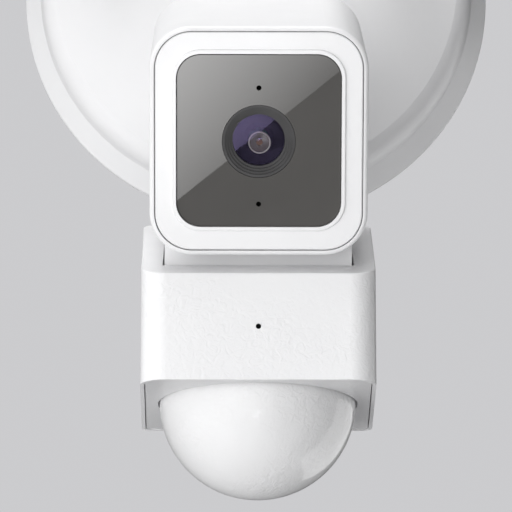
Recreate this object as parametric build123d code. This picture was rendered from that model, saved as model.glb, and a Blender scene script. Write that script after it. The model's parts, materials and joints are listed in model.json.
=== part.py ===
from build123d import *
from math import asin, cos, degrees, radians, sin, sqrt
import os

# Floodlight security camera, millimetres. The wall is the plane y = 0, the front faces -Y, +Z is up.
# The origin is the centre of the base's back. The pod (camera and motion sensor) hangs from the base.

# --- cuts and fits ---
OVERCUT = 1.0           # how far a cut runs on past the face that it opens
THROUGH = 150.0         # longer than any piece, for cuts that go right through
WELD = 0.1              # how far the shapes of one piece run into each other
RUNNING_FIT = 0.06      # round a shaft that turns
THREAD_FIT = 0.05       # round a screw in its own thread
SCREW_PASS = 0.1        # round a small screw where it only passes
SAME = 0.01             # two lengths closer than this are the same

# --- base housing ---
RIM_R = 60.5
RIM_Y = -4.2
RIM_ROUND = 0.7
BASE_REAR_Y = -2.5
CREASE_R = 56.4
CREASE_Y = -10.5
SHOULDER_R = 56.1
SHOULDER_Y = -12.6
FACE_EDGE_R = 52.1
FACE_EDGE_Y = -18.6
APEX_Y = -27.0
BASE_WALL = 2.5
POST_BITE = 1.5         # posts inside the housing end this far behind its front surface

# --- base: gasket, rear cover and the grommet for the supply wires ---
GASKET_R = 59.2
GASKET_BORE_R = 54.5
REAR_COVER_R = 55.6
REAR_COVER_FRONT_Y = -6.0
REAR_COVER_T = 2.0
REAR_COVER_Y = REAR_COVER_FRONT_Y + REAR_COVER_T
GROMMET_R = 11.5
GROMMET_BORE_R = 6.0
GROMMET_NECK_R = 9.0
GROMMET_LIP = 1.4

# --- small screws that hold the rear cover, the pivot bracket, the camera's mount and the dock ---
CASE_POST_AT = 49.0
CASE_POST_R = 3.2
CASE_SCREW_R = 1.4
CASE_SCREW_L = 8.0
CASE_HEAD_R = 2.6
CASE_HEAD_H = 1.8
SOCKET_WIDTH = 0.52     # a screw's socket, as a share of its head's radius
SOCKET_FLOOR = 0.4      # and where its floor is, as a share of the head's height

# --- mounting bracket for a round junction box with screws 88.9 mm apart ---
BRACKET_R = 53.0
BRACKET_T = 2.0
BRACKET_BORE_R = 26.0
BUSH_GAP = 0.2
BOX_SCREW_SPACING = 88.9
BOX_SLOT_LENGTH = 12.0
BOX_SLOT_WIDTH = 4.8
BASE_SCREW_X = 19.0
BASE_SCREW_Z = 43.0
BASE_SCREW_SEAT_Y = -17.0
BASE_SCREW_R = 2.0
BASE_SCREW_PASS = 0.3
BASE_SCREW_HEAD_H = 2.6
BASE_SCREW_END_Y = -0.4
BASE_TUBE_R = 5.8
GROUND_SCREW_AT = (-30.0, -24.0)
GROUND_SCREW_R = 1.7
GROUND_HEAD_R = 2.6
GROUND_HEAD_H = 1.2

# --- base: electronics ---
POWER_BOARD_Y = -8.5
POWER_BOARD_T = 1.6
POWER_BOARD_SIZE = (62.0, 50.0)
POWER_BOARD_R = 3.0
POWER_BOARD_BORE_R = 13.0
POWER_FRONT_Y = POWER_BOARD_Y - POWER_BOARD_T
STANDOFF_R = 4.0
STANDOFF_X = 24.0
TERMINAL_X = (13.0, 21.0)
TERMINAL_Z = (12.0, 22.0)
TERMINAL_H = 4.5
RELAY_HALF_W = 10.0
RELAY_Z = (-23.0, -15.0)
RELAY_H = 7.0
CORE_X = (16.0, 30.0)
CORE_Z = (-12.0, 8.0)
CORE_H = 11.0
WINDING_R = 5.0
WINDING_HALF_L = 7.0
WINDING_H = 5.6
CAPACITOR_R = 4.6
CAPACITOR_HALF_L = 5.2
CAPACITOR_H = 4.8
CAPACITOR_X = -24.0
CAPACITOR_Z = (-8.0, 4.0)
SIREN_Z = 30.0
SIREN_R = 11.0
SIREN_T = 7.5
SIREN_RIM = 2.0
SIREN_HOLLOW = 1.5
SIREN_GAP = 0.3
SIREN_BUTTON_R = 3.0
SIREN_BUTTON_T = 0.5
SIREN_HOLE_R = 0.9
SIREN_HOLE_RINGS = ((0.0, 1), (4.0, 6), (8.0, 12))

# --- pivot bracket on the base's front, with the vertical pan pin in its fork ---
BRACKET_SCREW_X = 8.0
BRACKET_SCREW_HALF = 5.5
BRACKET_MID_Z = -40.0
BRACKET_SCREW_SEAT = 1.2
BRACKET_SCREW_END_Y = -29.5
BRACKET_HALF_W = 13.0
BRACKET_FOOT_Y = -12.0
BRACKET_FOOT_Z = -49.5
BRACKET_WEB_Y = -25.5
PAN_Y = -35.6
PAN_PIN_R = 3.0
PIN_HEAD_R = 1.8        # how far a pin's head stands out past the pin
PIN_HEAD_T = 2.0
YOKE_R = 8.0
YOKE_HALF_H = 8.0
YOKE_TONGUE_HALF_W = 7.0
YOKE_TONGUE_R = 6.0
YOKE_GAP = 0.3
FORK_T = 6.0
FORK_R = 9.0
FORK_BEHIND = 0.6

# --- floodlight arms (right side; the left one is its mirror image) ---
ARM_X = 36.0
ARM_Z = 24.0
ARM_R = 6.0
ARM_BORE_R = 3.6
ARM_BOSS_R = 10.5
ARM_BOSS_Y = -27.0
ARM_BOSS_REAR_Y = -15.0
ARM_BOSS_CHAMFER = 1.0
ARM_COLLAR_R = 9.6
ARM_COLLAR_T = 3.0
ARM_COLLAR_GAP = 0.3
ARM_BEND_R = 13.0
ARM_SHAFT_Y = -50.0
ARM_TAIL = 4.5
NUT_R = 8.6
NUT_T = 3.5
NUT_GAP = 0.3
END_CAP_R = 7.0
END_CAP_T = 2.6
END_CAP_ROUND = 1.2
END_CAP_PLUG = 7.0

# --- floodlight heads: each head's own frame has its tilt axis along X and faces -Y ---
HEAD_X = 92.0
HEAD_PITCH = 20.0
HEAD_R = 48.0
HEAD_LIFT = 18.0
HEAD_REAR_Y = -13.0
HEAD_REAR_R = 39.0
HEAD_SHOULDER_Y = -21.0
HEAD_FRONT_Y = -36.0
HEAD_WALL = 2.6
HEAD_LEDGE = 1.4
HEAD_ROUND = 1.5
BEZEL_T = 3.0
BEZEL_ROUND = 1.4
LEDGE_Y = HEAD_FRONT_Y + BEZEL_T
FIN_TOP_Y = -7.6
FIN_PITCH = 6.5
FIN_T = 1.8
FIN_REACH_R = 39.0
SLEEVE_R = 10.0
SLEEVE_HALF = 11.0
SLEEVE_END_GAP = 0.6
LOCK_BOSS_R = 4.6
LOCK_BOSS_H = 2.5
LOCK_SCREW_R = 2.0
LOCK_HEAD_R = 4.0
LOCK_HEAD_H = 3.2
LOCK_TIP_GAP = 0.15
HEAD_SCREW_AT = 46.4
HEAD_SCREW_DEG = 45.0
HEAD_SCREW_R = 0.8
HEAD_SCREW_L = 6.0
HEAD_SCREW_HEAD_R = 1.4
HEAD_SCREW_HEAD_H = 1.1
HEAD_SCREW_SINK = 1.2
LED_BOARD_Y = -15.8
LED_BOARD_T = 1.6
LED_BOARD_R = 37.4
LED_WIRE_R = 1.6
LED_WIRE_X = 14.0
LED_SIZE = 3.0
LED_T = 0.9
LED_RINGS = ((0.0, 1), (8.8, 6), (17.6, 12), (26.4, 18), (34.2, 22))
DIFFUSER_R = HEAD_R - HEAD_WALL - 0.4
DIFFUSER_STEP_T = 1.4
DIFFUSER_DISC_R = DIFFUSER_R - 3.2
DIFFUSER_FOOT_R = DIFFUSER_R - 3.6
DIFFUSER_FOOT_T = 0.4
DIFFUSER_CROWN = 1.2
SEAL_R = HEAD_R - HEAD_WALL - 1.6
SEAL_W = 2.0
SEAL_T = 0.95
BEZEL_SEAT_R = HEAD_R - HEAD_WALL - 0.3
BEZEL_SEAT_T = 1.5
BEZEL_BORE_R = HEAD_R - HEAD_WALL - 3.4

# --- pod: the camera's own frame has its face at y = 0, its back at +y, and is pitched down ---
FACE_Y = -112.0
FACE_Z = -71.4
PITCH = 26.0
CAM_W = 51.0
CAM_H = 54.0
CAM_D = 58.0
CAM_CORNER_R = 10.0
CAM_REAR_ROUND = 2.5
CAM_WALL = 2.4
SEAM_INSET = 1.1
SEAM_GAP = 0.22
BEVEL = SEAM_INSET - 0.15
FRAME_DEPTH = 3.1
FRAME_FRONT_Y = 0.1
FRAME_CHAMFER = 0.25
GLASS_W = 38.4
GLASS_H = 40.6
GLASS_LIFT = 0.2
GLASS_R = 5.7
GLASS_T = 1.35
GLASS_CHAMFER = 0.2
GLASS_GAP = 0.1
GLASS_SEAT_Y = GLASS_T + 0.05
RIM_W = 1.1             # the raised rim round the glass
RIM_PROUD = 0.4
RIM_EDGE_ROUND = 0.35
SKIRT_GAP = 0.2
SKIRT_WALL = 1.8
SKIRT_Y = (2.0, 8.0)
WINDOW_EDGE = 1.8
EYE_HOLE_R = 0.6
STATUS_HOLE_H = 12.6
MIC_HOLE_H = -14.8

# --- camera: lens ---
LENS_R = 8.5
LENS_STEP = 0.6
LENS_STEPS = 4
TRIM_FRONT_Y = 0.1
TRIM_FLANGE_R = LENS_R + 1.7
TRIM_NECK_R = LENS_R - 0.4
TRIM_FLANGE_Y = 2.2
TRIM_BACK = 0.5
BARREL_FRONT_Y = 3.1
BARREL_REAR_Y = 20.0
BARREL_R = 7.9
BARREL_FOOT_R = 9.6
BARREL_FOOT_T = 2.5
BARREL_BORE_R = 6.4
BARREL_STOP_R = 3.2
BARREL_STOP_Y = (10.5, 12.0)
BARREL_REAR_BORE_R = 5.2
ELEMENT_R = 6.3
ELEMENT_FRONT_Y = 3.2
ELEMENT_REAR_Y = 5.9
ELEMENT_CROWN = 1.2
IRIS_R = 2.2
IRIS_MID_R = 2.9
IRIS_FRONT_R = 3.4
IRIS_Y = (6.6, 6.9, 7.4, 8.0)

# --- camera: boards, speaker and button ---
SENSOR_BOARD_SIZE = 26.0
SENSOR_BOARD_R = 2.0
SENSOR_BOARD_T = 1.2
IMAGE_CHIP = (3.4, 2.8)
IMAGE_CHIP_T = 0.9
IR_BOARD_EDGE = 4.2
IR_BOARD_R = 3.5
IR_BOARD_Y = (3.4, 4.4)
IR_BOARD_BORE_R = 9.2
IR_LED_FRONT_Y = 2.2
IR_LED_HALF = 1.4
IR_LED_X = 12.5
IR_LED_H = 9.0
STATUS_LED_HALF = 1.0
MIC_HALF_W = 1.5
MAIN_BOARD_Y = 33.0
MAIN_BOARD_SIZE = (42.0, 45.0)
MAIN_BOARD_R = 5.0
BOARD_T = 1.4
MAIN_BOARD_REAR_Y = MAIN_BOARD_Y + BOARD_T
SPACER_AT = 10.5
SPACER_R = 1.5
CHIP_HALF = 7.0
CHIP_T = 1.6
SHIELD_X = (-12.0, 6.0)
SHIELD_H = (-2.0, 14.0)
SHIELD_T = 2.6
SWITCH_HALF = 2.0
SWITCH_T = 1.4
PLUG_HALF_W = 4.0
PLUG_H = (-15.0, -9.0)
PLUG_T = 3.2
POST_AT = (18.0, 20.0)
POST_R = 2.2
SPEAKER_H = -18.0
SPEAKER_R = 5.6
SPEAKER_T = 4.2
SPEAKER_CONE_R = 4.4
SPEAKER_CONE_T = 1.0
SPEAKER_HOLE_R = 0.6
SPEAKER_HOLES_AT = 3.2
BUTTON_AT = (17.0, 4.0)
BUTTON_R = 3.0
BUTTON_GAP = 0.3
BUTTON_PROUD = 1.0
BUTTON_SINK = 3.0
BUTTON_ROUND = 0.5
BUTTON_STEM_R = 1.4
BUTTON_STEM_GAP = 0.9

# --- camera: mount behind it and its tilt pin ---
TILT_Y = 67.6
TILT_PIN_R = 2.45
TILT_PIN_HALF_L = 11.6
TILT_HEAD_X = 11.0
MOUNT_SIZE = (24.0, 30.0)
MOUNT_R = 3.0
MOUNT_T = 3.0
MOUNT_SCREW_X = 8.0
MOUNT_SCREW_H = 11.6
MOUNT_SCREW_L = 7.0
MOUNT_HEAD_H = 1.5
MOUNT_POST_R = 3.0
MOUNT_POST_L = 6.5
MOUNT_THREAD_L = 5.0
EAR_X = (7.4, 11.0)
EAR_R = 7.0

# --- dock: the tongue below the camera that fills the slot of the sensor housing ---
POD_GAP = 3.75
HINGE_Y = 48.0
HINGE_DROP = 8.0
HINGE_PIN_R = 1.5
DOCK_W = 44.2
DOCK_R = 41.1
DOCK_WALL = 2.0
DOCK_FOOT_DEG = 12.0
DOCK_KNUCKLE_R = 3.2
DOCK_REAR_INSET = 1.5
DOCK_REAR_WALL = 2.2
DOCK_BITE = 3.0
DOCK_ROOF = 2.5
DOCK_SCREW_X = 12.0
DOCK_SCREW_Y = (15.0, 38.0)
DOCK_POST_TOP = 5.5
DOCK_THREAD_TOP = 4.6

# --- motion sensor housing, hung below the camera; its bottom is level ---
SENSOR_LEAD = 2.4
SENSOR_W = 55.0         # at the front
SENSOR_REAR_W = 56.4
SENSOR_D = 55.0
SENSOR_FRONT_H = 25.5
SENSOR_WALL = 2.0
SENSOR_FRONT_R = 6.0
SENSOR_REAR_R = 3.0
SENSOR_TOP_ROUND = 0.35
SLOT_W = 45.2
SLOT_FRONT = 9.3
SLOT_REAR_Y = 50.0
HINGE_BOSS_R = 3.6
HINGE_BOSS_GAP = 0.5
HINGE_END_WALL = 1.2
HINGE_END_GAP = 0.2
DAYLIGHT_HOLE_R = 0.65
DAYLIGHT_STEM_R = 0.6
DAYLIGHT_STEM_SINK = 0.15
DAYLIGHT_BODY_R = 2.0
DAYLIGHT_BODY_L = 1.9

# --- motion sensor: base plate, dome and detectors ---
PLATE_T = 1.9
PLATE_RIM = 0.9
PLATE_GAP = 0.25
PLATE_RAISE = 0.2
PIR_POST_R = 2.0
PIR_POST_H = 4.0
PIR_POST_AT = (21.2, 22.6)
PIR_BOARD_SIZE = (47.0, 49.0)
PIR_BOARD_R = 3.0
PIR_CHIP_HALF_W = 6.0
PIR_CHIP_Y = (30.0, 38.0)
PIR_CHIP_T = 2.6
DOME_R = 23.4
DOME_T = 1.1
DOME_LEAD = 4.0
DOME_GAP = 0.4
DOME_CENTRE_RAISE = 0.9
DOME_FLANGE_W = 1.3
DOME_FLANGE_T = 1.2
CAN_R = 4.0
CAN_H = 3.4
CAN_X = 8.0
CAN_RIM_R = 4.6
CAN_RIM_T = 0.7
CAN_WINDOW = (2.0, 1.6)
CAN_WINDOW_SINK = 0.1

# --- places worked out from the sizes above ---
FACE_ARC_R = (FACE_EDGE_R**2 + (FACE_EDGE_Y - APEX_Y) ** 2) / (2 * (FACE_EDGE_Y - APEX_Y))
TILT_WORLD_Y = FACE_Y + TILT_Y * cos(radians(PITCH))
TILT_WORLD_Z = FACE_Z + TILT_Y * sin(radians(PITCH))
FORK_LOW_Z = TILT_WORLD_Z - YOKE_HALF_H - YOKE_GAP
FORK_HIGH_Z = TILT_WORLD_Z + YOKE_HALF_H + YOKE_GAP
CAM_BOTTOM_H = -CAM_H / 2
SENSOR_TOP_H = CAM_BOTTOM_H - POD_GAP
HINGE_H = SENSOR_TOP_H - HINGE_DROP
DOCK_ROOF_H = CAM_BOTTOM_H - DOCK_ROOF


def pod_to_world(y, z):
    """World (y, z) of a point of the camera's own frame."""
    a = radians(PITCH)
    return FACE_Y + y * cos(a) - z * sin(a), FACE_Z + y * sin(a) + z * cos(a)


SENSOR_FRONT_Y, SENSOR_TOP_Z = pod_to_world(-SENSOR_LEAD, SENSOR_TOP_H)
SENSOR_BOTTOM_Z = SENSOR_TOP_Z - SENSOR_FRONT_H
SENSOR_MID_Y = SENSOR_FRONT_Y + SENSOR_D / 2
EYE_Z = SENSOR_TOP_Z - SENSOR_FRONT_H / 2
PLATE_BOTTOM_Z = SENSOR_BOTTOM_Z + PLATE_RAISE
PLATE_TOP_Z = PLATE_BOTTOM_Z + PLATE_T
PIR_BOARD_Z = PLATE_TOP_Z + PIR_POST_H
DOME_Y = SENSOR_FRONT_Y + DOME_LEAD + DOME_R
HINGE_WORLD_Y, HINGE_WORLD_Z = pod_to_world(HINGE_Y, HINGE_H)
HINGE_END_X = SENSOR_W / 2 - HINGE_END_WALL

pod = Pos(0, FACE_Y, FACE_Z) * Rot(PITCH, 0, 0)
head = Pos(HEAD_X, ARM_SHAFT_Y, ARM_Z) * Rot(HEAD_PITCH, 0, 0)
disc_centre = Pos(0, 0, HEAD_LIFT)


# ---------------------------------------------------------------- shapes


def rod_x(r, x0, x1, y=0.0, z=0.0):
    return Pos((x0 + x1) / 2, y, z) * Rot(0, 90, 0) * Cylinder(r, abs(x1 - x0))


def rod_y(r, y0, y1, x=0.0, z=0.0):
    return Pos(x, (y0 + y1) / 2, z) * Rot(90, 0, 0) * Cylinder(r, abs(y1 - y0))


def rod_z(r, z0, z1, x=0.0, y=0.0):
    return Pos(x, y, (z0 + z1) / 2) * Cylinder(r, abs(z1 - z0))


def bore_x(r, y=0.0, z=0.0):
    return rod_x(r, -THROUGH, THROUGH, y, z)


def bore_y(r, x=0.0, z=0.0):
    return rod_y(r, -THROUGH, THROUGH, x, z)


def bore_z(r, x=0.0, y=0.0):
    return rod_z(r, -THROUGH, THROUGH, x, y)


def block(x0, x1, y0, y1, z0, z1):
    centre = ((x0 + x1) / 2, (y0 + y1) / 2, (z0 + z1) / 2)
    return Pos(*centre) * Box(abs(x1 - x0), abs(y1 - y0), abs(z1 - z0))


def slab_y(sketch, y0, y1):
    """A sketch in the (x, z) plane, made solid from y0 to y1."""
    plane = Plane(origin=(0, max(y0, y1), 0), x_dir=(1, 0, 0), z_dir=(0, -1, 0))
    return extrude(plane * sketch, abs(y1 - y0))


def slab_x(points, half_width):
    """A polygon of (y, z) points, made solid from -half_width to +half_width."""
    plane = Plane(origin=(-half_width, 0, 0), x_dir=(0, 1, 0), z_dir=(1, 0, 0))
    return extrude(plane * make_face(Polyline(*points, close=True)), 2 * half_width)


def turned_y(points):
    """A solid of revolution about the Y axis from (radius, y) points."""
    return revolve(make_face(Polyline(*points, close=True)), Axis.Y)


def cap_arc(apex_y, edge_r, rise):
    """Arc from the axis at apex_y out to edge_r, where Y has changed by rise; it turns into a sphere."""
    radius = (edge_r**2 + rise**2) / (2 * rise)
    start = -90 if rise > 0 else 90
    return CenterArc((0, apex_y + radius), abs(radius), start, degrees(asin(edge_r / radius)))


def face_sketch(inset, corner_r=CAM_CORNER_R):
    """The camera's rounded square, smaller by inset on every side."""
    return RectangleRounded(CAM_W - 2 * inset, CAM_H - 2 * inset, corner_r - inset)


def glass_sketch(grow):
    """The front glass's rounded rectangle, larger by grow on every side."""
    return Pos(0, GLASS_LIFT) * RectangleRounded(GLASS_W + 2 * grow, GLASS_H + 2 * grow, GLASS_R + grow)


def group(shapes):
    return Compound(children=list(shapes))


def corners(x, z):
    return [(i * x, j * z) for i in (-1, 1) for j in (-1, 1)]


def around(radius, count, start_deg=0.0):
    steps = [radians(start_deg + 360.0 * i / count) for i in range(count)]
    return [(radius * cos(a), radius * sin(a)) for a in steps]


def front_edges(solid):
    return solid.faces().sort_by(Axis.Y)[0].edges()


def rear_edges(solid):
    return solid.faces().sort_by(Axis.Y)[-1].edges()


def screw(head_r, head_h, shank_r, length):
    """A socket screw along Y: the head's seat at y = 0, the shank to +y."""
    body = rod_y(head_r, -head_h, 0) + rod_y(shank_r, -WELD, length)
    return body - slab_y(RegularPolygon(head_r * SOCKET_WIDTH, 6), -THROUGH, -head_h * SOCKET_FLOOR)


# ---------------------------------------------------------------- base


def face_y(x, z):
    """The base's front surface at a place."""
    return APEX_Y + FACE_ARC_R - sqrt(FACE_ARC_R**2 - x**2 - z**2)


def base_body(inset, rear_y):
    """The base's outline turned round its axis, with its wall taken off when inset."""
    rim_r = RIM_R - inset * 5 / 4
    crease = (CREASE_R - inset, CREASE_Y)
    shoulder = (SHOULDER_R - inset, SHOULDER_Y)
    edge_r = FACE_EDGE_R - inset / 2
    face_r = FACE_ARC_R - inset
    rise = face_r - sqrt(face_r**2 - edge_r**2)
    apex_y = APEX_Y + inset
    outline = [
        Line((0, rear_y), (rim_r, rear_y)),
        Line((rim_r, rear_y), (rim_r, RIM_Y)),
        Line((rim_r, RIM_Y), crease),
        Line(crease, shoulder),
        TangentArc(shoulder, (edge_r, apex_y + rise), tangent=(-0.1, -1)),
        cap_arc(apex_y, edge_r, rise),
        Line((0, apex_y), (0, rear_y)),
    ]
    return revolve(make_face(outline), Axis.Y)


def base_outer():
    body = base_body(0, BASE_REAR_Y)
    circles = body.edges().filter_by(GeomType.CIRCLE)
    return fillet(circles.filter_by(lambda edge: abs(edge.radius - RIM_R) < SAME), RIM_ROUND)


def rear_cover_posts():
    return around(CASE_POST_AT, 4)


def bracket_screw_spots():
    return [(x, BRACKET_MID_Z + z) for x, z in corners(BRACKET_SCREW_X, BRACKET_SCREW_HALF)]


def base_housing():
    shell = base_outer() - base_body(BASE_WALL, OVERCUT)
    for side in (-1, 1):
        boss = rod_y(ARM_BOSS_R, ARM_BOSS_REAR_Y, ARM_BOSS_Y, side * ARM_X, ARM_Z)
        shell += chamfer(front_edges(boss), ARM_BOSS_CHAMFER)
        shell -= bore_y(ARM_R + RUNNING_FIT, side * ARM_X, ARM_Z)
    for x, z in corners(BASE_SCREW_X, BASE_SCREW_Z):
        shell += rod_y(BASE_TUBE_R, REAR_COVER_FRONT_Y, face_y(x, z) + POST_BITE, x, z)
        shell -= bore_y(BASE_SCREW_R + BASE_SCREW_PASS, x, z)
        shell -= rod_y(2 * BASE_SCREW_R + BASE_SCREW_PASS, BASE_SCREW_SEAT_Y, -THROUGH, x, z)
    for x, z in rear_cover_posts():
        shell += rod_y(CASE_POST_R, REAR_COVER_FRONT_Y, face_y(x, z) + POST_BITE, x, z)
        shell -= rod_y(CASE_SCREW_R + THREAD_FIT, 0, REAR_COVER_FRONT_Y - CASE_SCREW_L, x, z)
    for x, z in bracket_screw_spots():
        shell -= bore_y(CASE_SCREW_R + SCREW_PASS, x, z)
    for ring_r, count in SIREN_HOLE_RINGS:
        for x, z in around(ring_r, count):
            shell -= bore_y(SIREN_HOLE_R, x, SIREN_Z + z)
    return shell


def base_rear_cover():
    plate = rod_y(REAR_COVER_R, REAR_COVER_FRONT_Y, REAR_COVER_Y) - bore_y(GROMMET_NECK_R)
    for x, z in corners(BASE_SCREW_X, BASE_SCREW_Z):
        plate -= bore_y(BASE_SCREW_R + BASE_SCREW_PASS, x, z)
    for x, z in rear_cover_posts():
        plate -= bore_y(CASE_SCREW_R + SCREW_PASS, x, z)
    for side in (-1, 1):
        plate += rod_y(STANDOFF_R, REAR_COVER_FRONT_Y, POWER_BOARD_Y, side * STANDOFF_X, 0)
    return plate


def wall_gasket():
    return rod_y(GASKET_R, 0, BASE_REAR_Y) - bore_y(GASKET_BORE_R)


def mounting_bracket():
    """Steel plate on the junction box, with two screw slots and four threaded bushes for the base."""
    plate = rod_y(BRACKET_R, 0, -BRACKET_T) - bore_y(BRACKET_BORE_R)
    for x, z in corners(BASE_SCREW_X, BASE_SCREW_Z):
        plate += rod_y(2 * BASE_SCREW_R, -BRACKET_T / 2, REAR_COVER_Y + BUSH_GAP, x, z)
        plate -= bore_y(BASE_SCREW_R + THREAD_FIT, x, z)
    for side in (-1, 1):
        slot = Pos(side * BOX_SCREW_SPACING / 2, 0) * SlotOverall(BOX_SLOT_LENGTH, BOX_SLOT_WIDTH)
        plate -= slab_y(slot, -BRACKET_T - OVERCUT, OVERCUT)
    return plate - bore_y(GROUND_SCREW_R + THREAD_FIT, *GROUND_SCREW_AT)


def ground_screw():
    x, z = GROUND_SCREW_AT
    return Pos(x, -BRACKET_T, z) * screw(GROUND_HEAD_R, GROUND_HEAD_H, GROUND_SCREW_R, BRACKET_T - BUSH_GAP)


def base_mounting_screws():
    length = BASE_SCREW_END_Y - BASE_SCREW_SEAT_Y
    one = screw(2 * BASE_SCREW_R, BASE_SCREW_HEAD_H, BASE_SCREW_R, length)
    return group(Pos(x, BASE_SCREW_SEAT_Y, z) * one for x, z in corners(BASE_SCREW_X, BASE_SCREW_Z))


def base_case_screws():
    """Four screws hold the rear cover, and four more the pivot bracket from inside."""
    forward = Rot(0, 0, 180) * screw(CASE_HEAD_R, CASE_HEAD_H, CASE_SCREW_R, CASE_SCREW_L)
    shapes = [Pos(x, REAR_COVER_Y, z) * forward for x, z in rear_cover_posts()]
    for x, z in bracket_screw_spots():
        seat_y = face_y(x, z) + BASE_WALL + BRACKET_SCREW_SEAT
        shapes.append(Pos(x, seat_y, z) * forward)
    return group(shapes)


def wire_grommet():
    front_y = REAR_COVER_FRONT_Y
    rear_y = REAR_COVER_Y
    outline = [
        (GROMMET_BORE_R, rear_y + GROMMET_LIP),
        (GROMMET_R, rear_y + GROMMET_LIP),
        (GROMMET_R, rear_y),
        (GROMMET_NECK_R, rear_y),
        (GROMMET_NECK_R, front_y),
        (GROMMET_R, front_y),
        (GROMMET_R, front_y - GROMMET_LIP),
        (GROMMET_BORE_R, front_y - GROMMET_LIP),
    ]
    return turned_y(outline)


def power_board():
    """Board with two terminal blocks and a relay."""
    board = slab_y(RectangleRounded(*POWER_BOARD_SIZE, POWER_BOARD_R), POWER_BOARD_Y, POWER_FRONT_Y)
    board -= bore_y(POWER_BOARD_BORE_R)
    inner_x, outer_x = TERMINAL_X
    for side in (-1, 1):
        height = (POWER_FRONT_Y, POWER_FRONT_Y - TERMINAL_H)
        board += block(side * inner_x, side * outer_x, *height, *TERMINAL_Z)
    return board + block(-RELAY_HALF_W, RELAY_HALF_W, POWER_FRONT_Y, POWER_FRONT_Y - RELAY_H, *RELAY_Z)


def power_transformer():
    core = block(*CORE_X, POWER_FRONT_Y, POWER_FRONT_Y - CORE_H, *CORE_Z)
    mid_x = sum(CORE_X) / 2
    mid_z = sum(CORE_Z) / 2
    low_z, high_z = mid_z - WINDING_HALF_L, mid_z + WINDING_HALF_L
    return core + rod_z(WINDING_R, low_z, high_z, mid_x, POWER_FRONT_Y - WINDING_H)


def power_capacitors():
    one = rod_z(CAPACITOR_R, -CAPACITOR_HALF_L, CAPACITOR_HALF_L, CAPACITOR_X, POWER_FRONT_Y - CAPACITOR_H)
    return group(Pos(0, 0, z) * one for z in CAPACITOR_Z)


def siren():
    front_y = face_y(0, SIREN_Z + SIREN_R) + BASE_WALL + SIREN_GAP
    hollow_y = front_y + SIREN_HOLLOW
    body = rod_y(SIREN_R, front_y, front_y + SIREN_T, 0, SIREN_Z)
    body -= rod_y(SIREN_R - SIREN_RIM, -THROUGH, hollow_y, 0, SIREN_Z)
    return body + rod_y(SIREN_BUTTON_R, hollow_y - SIREN_BUTTON_T, hollow_y + WELD, 0, SIREN_Z)


def pivot_bracket():
    """Cast foot that follows the base's curve, and a fork for the pan pin."""
    top_z = FORK_HIGH_Z + FORK_T
    bottom_z = FORK_LOW_Z - FORK_T
    web_y = PAN_Y + YOKE_R + FORK_BEHIND
    body = block(-BRACKET_HALF_W, BRACKET_HALF_W, web_y, BRACKET_WEB_Y, bottom_z, top_z)
    foot_y = BRACKET_WEB_Y - WELD
    body += block(-BRACKET_HALF_W, BRACKET_HALF_W, foot_y, BRACKET_FOOT_Y, BRACKET_FOOT_Z, top_z)
    for low_z, high_z in ((bottom_z, FORK_LOW_Z), (FORK_HIGH_Z, top_z)):
        body += block(-FORK_R, FORK_R, PAN_Y, web_y + OVERCUT, low_z, high_z)
        body += rod_z(FORK_R, low_z, high_z, 0, PAN_Y)
    body -= bore_z(PAN_PIN_R, 0, PAN_Y)
    body -= base_body(0, BASE_REAR_Y)
    for x, z in bracket_screw_spots():
        body -= rod_y(CASE_SCREW_R + THREAD_FIT, 0, BRACKET_SCREW_END_Y, x, z)
    return body


def pan_pin():
    head_z = FORK_HIGH_Z + FORK_T
    pin = rod_z(PAN_PIN_R, FORK_LOW_Z - FORK_T - OVERCUT, head_z + WELD, 0, PAN_Y)
    return pin + rod_z(PAN_PIN_R + PIN_HEAD_R, head_z, head_z + PIN_HEAD_T, 0, PAN_Y)


# ---------------------------------------------------------------- floodlights (right side)

SLEEVE_END_X = HEAD_X + SLEEVE_HALF + SLEEVE_END_GAP


def arm():
    """A hollow elbow: it turns in the base, and the head tilts on its end."""
    start = (ARM_X, ARM_BOSS_REAR_Y + ARM_TAIL, ARM_Z)
    elbow = (ARM_X, ARM_SHAFT_Y, ARM_Z)
    path = FilletPolyline(start, elbow, (SLEEVE_END_X, ARM_SHAFT_Y, ARM_Z), radius=ARM_BEND_R)
    tube = sweep(Plane(origin=start, z_dir=(0, -1, 0)) * (Circle(ARM_R) - Circle(ARM_BORE_R)), path=path)
    collar_y = ARM_BOSS_Y - ARM_COLLAR_GAP
    collar = rod_y(ARM_COLLAR_R, collar_y, ARM_BOSS_Y - ARM_COLLAR_T, ARM_X, ARM_Z)
    return tube + (collar - bore_y(ARM_R - OVERCUT, ARM_X, ARM_Z))


def arm_locknut():
    seat = Plane(origin=(ARM_X, ARM_BOSS_REAR_Y + NUT_GAP, ARM_Z), z_dir=(0, 1, 0))
    return extrude(seat * RegularPolygon(NUT_R, 6), NUT_T) - bore_y(ARM_R, ARM_X, ARM_Z)


def arm_end_cap():
    end_x = SLEEVE_END_X + END_CAP_T
    cap = rod_x(END_CAP_R, SLEEVE_END_X, end_x, ARM_SHAFT_Y, ARM_Z)
    cap = fillet(cap.faces().sort_by(Axis.X)[-1].edges(), END_CAP_ROUND)
    plug_x = SLEEVE_END_X - END_CAP_PLUG
    return cap + rod_x(ARM_BORE_R - THREAD_FIT, plug_x, SLEEVE_END_X + WELD, ARM_SHAFT_Y, ARM_Z)


def head_screw_spots():
    return [(x, HEAD_LIFT + z) for x, z in around(HEAD_SCREW_AT, 4, HEAD_SCREW_DEG)]


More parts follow.
